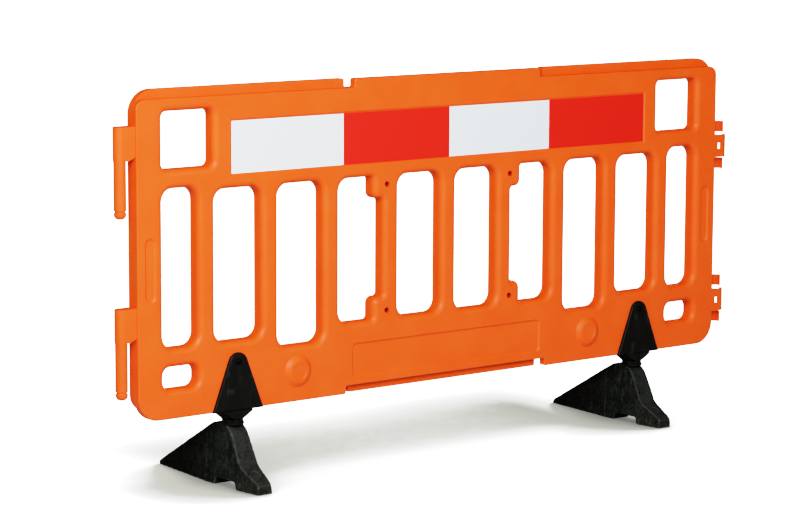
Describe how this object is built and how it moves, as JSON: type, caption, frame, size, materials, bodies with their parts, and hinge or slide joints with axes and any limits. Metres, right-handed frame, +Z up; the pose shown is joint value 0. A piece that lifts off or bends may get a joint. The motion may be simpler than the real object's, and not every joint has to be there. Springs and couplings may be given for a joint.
{
  "type": "safety barrier",
  "caption": "Free-standing hollow plastic barrier panel with upright slots, reflective sheets, pins and sockets that link it to the next one, and feet that swivel for storage.",
  "frame": {"origin": "on the ground at the middle of the barrier's whole length and of its depth over the feet", "axes": "+X along the panel from the pin end to the socket end, +Y to the rear, +Z up"},
  "size_m": [2.0415, 0.456, 1],
  "materials": {
    "orange_plastic": "satin blow-moulded polyethylene",
    "white_sheet": "smooth retroreflective film, white",
    "red_sheet": "smooth retroreflective film, red",
    "black_plastic": "moulded, slightly shiny",
    "foot_rubber": "recycled, dull and scuffed",
    "zinc_steel": "zinc plated",
    "black_steel": "blackened, dull"
  },
  "bodies": {
    "barrier": {"panel": "orange_plastic", "front_sheet_1_white": "white_sheet", "front_sheet_2_red": "red_sheet", "front_sheet_3_white": "white_sheet", "front_sheet_4_red": "red_sheet", "rear_sheet_1_white": "white_sheet", "rear_sheet_2_red": "red_sheet", "rear_sheet_3_white": "white_sheet", "rear_sheet_4_red": "red_sheet", "foot_bracket_left": "black_plastic", "bracket_bolt_left": "black_steel", "bracket_washers_left": "black_steel", "bracket_nut_left": "black_steel", "pivot_bolt_left": "zinc_steel", "pivot_nut_left": "zinc_steel", "foot_bracket_right": "black_plastic", "bracket_bolt_right": "black_steel", "bracket_washers_right": "black_steel", "bracket_nut_right": "black_steel", "pivot_bolt_right": "zinc_steel", "pivot_nut_right": "zinc_steel"},
    "left_foot": {"foot_left": "foot_rubber", "pivot_washer_left": "zinc_steel"},
    "right_foot": {"foot_right": "foot_rubber", "pivot_washer_right": "zinc_steel"}
  },
  "joints": [
    {"name": "left_foot_swivel", "type": "hinge", "parent": "barrier", "child": "left_foot", "pos_m": [-0.67875, -0.09, 0.157], "axis": [0, 0, 1], "range_deg": [-90, 90]},
    {"name": "right_foot_swivel", "type": "hinge", "parent": "barrier", "child": "right_foot", "pos_m": [0.67925, -0.09, 0.157], "axis": [0, 0, 1], "range_deg": [-90, 90]}
  ]
}
